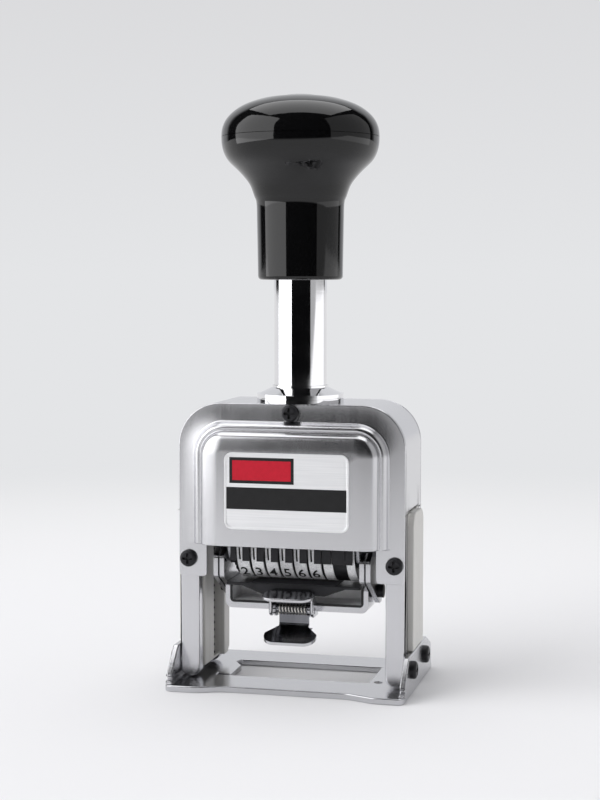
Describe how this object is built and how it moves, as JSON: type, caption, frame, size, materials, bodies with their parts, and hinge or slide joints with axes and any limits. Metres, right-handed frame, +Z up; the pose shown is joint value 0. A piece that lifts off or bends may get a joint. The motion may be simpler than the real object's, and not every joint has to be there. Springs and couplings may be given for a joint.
{
  "type": "numbering machine",
  "caption": "Hand numbering machine: round knob on a sprung tube, arched frame, number wheels over a base window, swinging ink pad with a thumb clip.",
  "frame": {"origin": "middle of the floor under the whole part", "axes": "+X to the right seen from the front, +Y to the back, +Z up along the plunger"},
  "size_m": [0.0706, 0.0476, 0.1654],
  "materials": {
    "moulded_black": "polished black moulding",
    "chrome": "polished chrome plate",
    "plated_casting": "satin chrome on a die casting",
    "plated_sheet": "satin chrome on pressed steel",
    "steel": "turned steel",
    "spring_steel": "spring wire",
    "plate_foil": "brushed aluminium, bare",
    "blackened_steel": "blackened screws and arms",
    "ivory_plastic": "pale moulded nylon",
    "wheel_metal": "plated number wheels",
    "felt": "inked felt"
  },
  "bodies": {
    "frame": {"main_frame": "plated_casting", "top_collar": "chrome", "collar_nut": "chrome", "front_cover": "plated_sheet", "front_cover_screws": "blackened_steel", "rear_cover": "plated_sheet", "rear_cover_screws": "blackened_steel", "name_plate": "plate_foil", "finger_plate": "blackened_steel", "base_plate": "plated_sheet", "base_screws": "blackened_steel", "right_guide": "ivory_plastic", "left_guide": "ivory_plastic", "right_return_spring": "spring_steel", "left_return_spring": "spring_steel"},
    "plunger": {"knob_body": "moulded_black", "knob_cap": "moulded_black", "knob_screw": "steel", "plunger_tube": "chrome", "carriage_head": "steel", "right_guide_shoe": "ivory_plastic", "left_guide_shoe": "ivory_plastic", "tube_nut": "steel", "right_side_plate": "plated_sheet", "left_side_plate": "plated_sheet", "side_plate_screws": "steel", "tie_rod": "steel", "detent_comb": "steel", "wheel_shaft": "steel", "shaft_nuts": "steel", "inner_blank_drum": "wheel_metal", "outer_blank_drum": "wheel_metal"},
    "selector": {"selector_dial": "blackened_steel"},
    "index": {"index_arm": "blackened_steel", "feed_pawl": "blackened_steel"},
    "inker": {"pad_yoke": "plated_sheet", "right_outer_arm": "plated_sheet", "left_outer_arm": "plated_sheet", "yoke_screws": "blackened_steel", "pad_liner": "blackened_steel", "pad_tray": "blackened_steel", "ink_pad": "felt", "upper_tab": "chrome", "clip_pin": "steel", "clip_spring": "spring_steel"},
    "thumb_lever": {"lower_tab": "chrome"},
    "wheel_1": {"number_wheel_1": "wheel_metal"},
    "wheel_2": {"number_wheel_2": "wheel_metal"},
    "wheel_3": {"number_wheel_3": "wheel_metal"},
    "wheel_4": {"number_wheel_4": "wheel_metal"},
    "wheel_5": {"number_wheel_5": "wheel_metal"},
    "wheel_6": {"number_wheel_6": "wheel_metal"}
  },
  "joints": [
    {"name": "plunger_slide", "type": "slide", "parent": "frame", "child": "plunger", "axis": [0, 0, -1], "range_m": [0, 0.0292], "stiffness_N_per_m": 350, "springref_m": -0.02, "deforming": ["right_return_spring", "left_return_spring"]},
    {"name": "pad_swing", "type": "hinge", "parent": "plunger", "child": "inker", "pos_m": [0, -0.0017, 0.04], "axis": [-1, 0, 0], "range_deg": [0, 95.1]},
    {"name": "lever_press", "type": "hinge", "parent": "inker", "child": "thumb_lever", "pos_m": [0, -0.011, 0.0223], "axis": [-1, 0, 0], "range_deg": [0, 18], "stiffness_Nm_per_rad": 0.02, "springref_deg": -34.38},
    {"name": "index_swing", "type": "hinge", "parent": "plunger", "child": "index", "pos_m": [0, -0.0017, 0.04], "axis": [1, 0, 0], "range_deg": [0, 36.1]},
    {"name": "selector_turn", "type": "hinge", "parent": "plunger", "child": "selector", "pos_m": [0, -0.0017, 0.04], "axis": [1, 0, 0], "range_deg": [0, 180]},
    {"name": "wheel_1_turn", "type": "hinge", "parent": "plunger", "child": "wheel_1", "pos_m": [0, -0.0017, 0.04], "axis": [1, 0, 0], "continuous": true},
    {"name": "wheel_2_turn", "type": "hinge", "parent": "plunger", "child": "wheel_2", "pos_m": [0, -0.0017, 0.04], "axis": [1, 0, 0], "continuous": true},
    {"name": "wheel_3_turn", "type": "hinge", "parent": "plunger", "child": "wheel_3", "pos_m": [0, -0.0017, 0.04], "axis": [1, 0, 0], "continuous": true},
    {"name": "wheel_4_turn", "type": "hinge", "parent": "plunger", "child": "wheel_4", "pos_m": [0, -0.0017, 0.04], "axis": [1, 0, 0], "continuous": true},
    {"name": "wheel_5_turn", "type": "hinge", "parent": "plunger", "child": "wheel_5", "pos_m": [0, -0.0017, 0.04], "axis": [1, 0, 0], "continuous": true},
    {"name": "wheel_6_turn", "type": "hinge", "parent": "plunger", "child": "wheel_6", "pos_m": [0, -0.0017, 0.04], "axis": [1, 0, 0], "continuous": true}
  ],
  "couplings": [
    {"joint": "pad_swing", "follows": "plunger_slide", "rad_per_m": 56.783},
    {"joint": "index_swing", "follows": "plunger_slide", "rad_per_m": 21.518}
  ]
}
